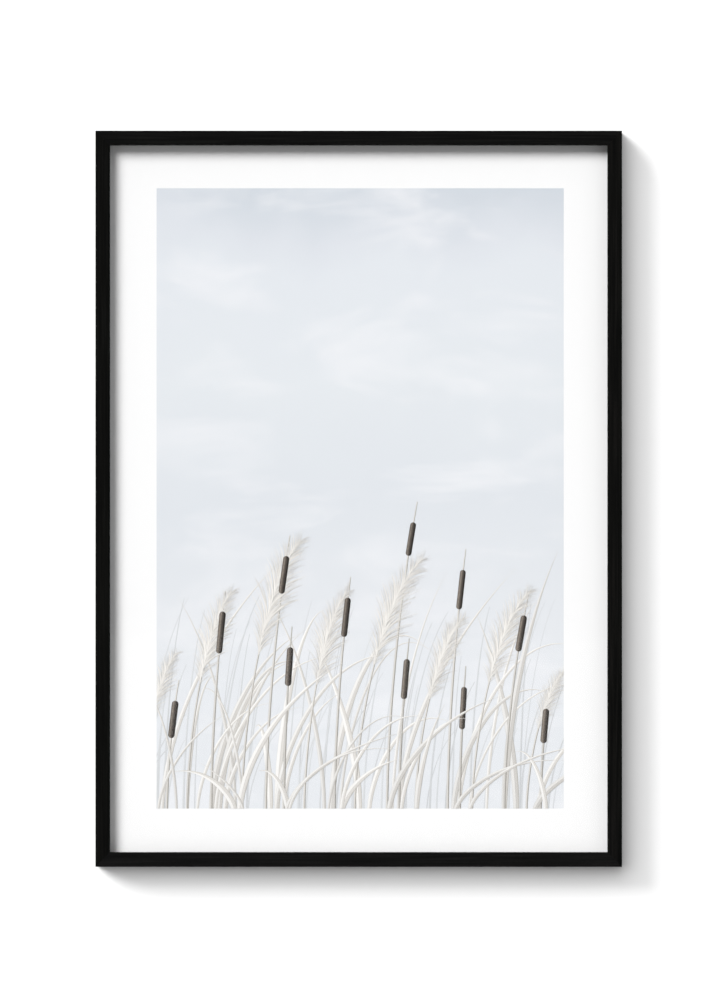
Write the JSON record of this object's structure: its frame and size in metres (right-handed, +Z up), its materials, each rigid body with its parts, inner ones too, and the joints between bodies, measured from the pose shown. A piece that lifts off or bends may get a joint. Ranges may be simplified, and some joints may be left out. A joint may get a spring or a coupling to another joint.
{
  "type": "framed wall print",
  "caption": "Tall framed print for a wall: slim mitred black wooden frame, clear glazing, printed sheet, hardboard back under bent steel tabs, and sawtooth hangers behind.",
  "frame": {"origin": "middle of the flat back face of the top rail, which lies on the wall", "axes": "+X to the viewer's right, +Y into the wall with the picture facing -Y, +Z up"},
  "size_m": [0.52, 0.022, 0.727],
  "materials": {
    "black_stained_wood": "straight-grained wood under black stain and a thin matt lacquer",
    "clear_acrylic": "clear polished acrylic sheet",
    "printed_paper": "matt poster paper with a white border round a pale print",
    "hardboard": "smooth brown hardboard",
    "zinc_plated_steel": "bright zinc plating, slightly dulled",
    "blued_steel": "dark hardened spring steel",
    "brass_plated_steel": "thin brass plating over pressed steel"
  },
  "bodies": {
    "root": {"top_rail": "black_stained_wood", "right_rail": "black_stained_wood", "bottom_rail": "black_stained_wood", "left_rail": "black_stained_wood", "corner_nail_top_left": "blued_steel", "corner_nail_top_right": "blued_steel", "corner_nail_bottom_left": "blued_steel", "corner_nail_bottom_right": "blued_steel", "glazing": "clear_acrylic", "print_sheet": "printed_paper", "backing_board": "hardboard", "tab_top_1": "zinc_plated_steel", "tab_top_2": "zinc_plated_steel", "tab_top_3": "zinc_plated_steel", "tab_right_1": "zinc_plated_steel", "tab_right_2": "zinc_plated_steel", "tab_right_3": "zinc_plated_steel", "tab_right_4": "zinc_plated_steel", "tab_bottom_1": "zinc_plated_steel", "tab_bottom_2": "zinc_plated_steel", "tab_bottom_3": "zinc_plated_steel", "tab_left_1": "zinc_plated_steel", "tab_left_2": "zinc_plated_steel", "tab_left_3": "zinc_plated_steel", "tab_left_4": "zinc_plated_steel", "hanger_left": "brass_plated_steel", "hanger_right": "brass_plated_steel", "rivet_left_outer": "brass_plated_steel", "rivet_left_inner": "brass_plated_steel", "rivet_right_inner": "brass_plated_steel", "rivet_right_outer": "brass_plated_steel"}
  },
  "joints": []
}
